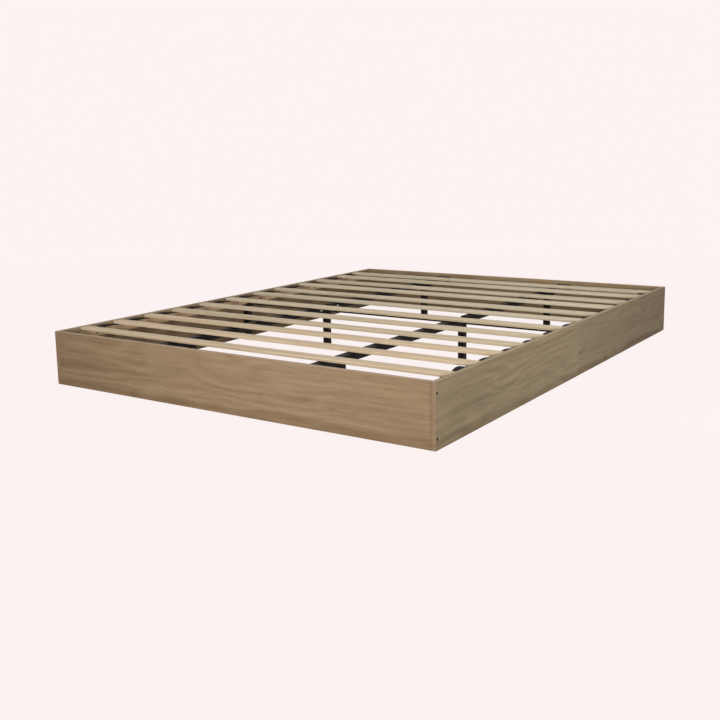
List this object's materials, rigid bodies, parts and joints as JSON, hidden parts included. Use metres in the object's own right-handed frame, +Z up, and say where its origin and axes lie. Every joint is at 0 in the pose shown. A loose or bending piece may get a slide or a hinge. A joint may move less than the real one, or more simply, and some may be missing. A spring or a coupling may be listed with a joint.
{
  "type": "slatted platform bed base",
  "caption": "Low box platform bed base: oak-look boards round a slatted deck on webbing straps, carried by a black steel centre frame with legs.",
  "frame": {"origin": "on the floor under the middle of the bed", "axes": "+X across the bed to its right as seen from the foot end, +Y along it from foot to head, +Z up"},
  "size_m": [1.524, 2.032, 0.19],
  "materials": {
    "oak_board": "satin oak-look foil on particle board",
    "slat_wood": "plain sanded pine",
    "ledge_wood": "plain planed pine",
    "dowel_wood": "turned beech",
    "black_steel": "satin black powder coat",
    "webbing": "woven black polyester webbing",
    "black_plastic": "moulded matt black",
    "black_screws": "black phosphate steel",
    "zinc_bolts": "zinc plated steel"
  },
  "bodies": {
    "root": {"bar_stubs": "black_steel", "beam_hanger_left_far": "black_steel", "beam_hanger_left_near": "black_steel", "beam_hanger_right_far": "black_steel", "beam_hanger_right_near": "black_steel", "beam_left_far": "black_steel", "beam_left_near": "black_steel", "beam_right_far": "black_steel", "beam_right_near": "black_steel", "corner_screws": "black_screws", "cross_bar": "black_steel", "foot_left_far": "black_plastic", "foot_left_mid": "black_plastic", "foot_left_near": "black_plastic", "foot_left_post": "black_plastic", "foot_panel": "oak_board", "foot_right_far": "black_plastic", "foot_right_mid": "black_plastic", "foot_right_near": "black_plastic", "foot_right_post": "black_plastic", "frame_bolts": "zinc_bolts", "frame_nuts": "zinc_bolts", "hanger_screws": "black_screws", "head_panel": "oak_board", "ledge_left_far": "ledge_wood", "ledge_left_near": "ledge_wood", "ledge_right_far": "ledge_wood", "ledge_right_near": "ledge_wood", "ledge_screws": "black_screws", "leg_left_far": "black_steel", "leg_left_mid": "black_steel", "leg_left_near": "black_steel", "leg_right_far": "black_steel", "leg_right_mid": "black_steel", "leg_right_near": "black_steel", "post_screws": "black_screws", "side_post_left": "black_steel", "side_post_right": "black_steel", "side_rail_left_far": "oak_board", "side_rail_left_near": "oak_board", "side_rail_right_far": "oak_board", "side_rail_right_near": "oak_board", "slat_01": "slat_wood", "slat_02": "slat_wood", "slat_03": "slat_wood", "slat_04": "slat_wood", "slat_05": "slat_wood", "slat_06": "slat_wood", "slat_07": "slat_wood", "slat_08": "slat_wood", "slat_09": "slat_wood", "slat_10": "slat_wood", "slat_11": "slat_wood", "slat_12": "slat_wood", "splice_block_left": "ledge_wood", "splice_block_right": "ledge_wood", "webbing_strap_left": "webbing", "webbing_strap_right": "webbing", "wood_dowels": "dowel_wood"}
  },
  "joints": []
}
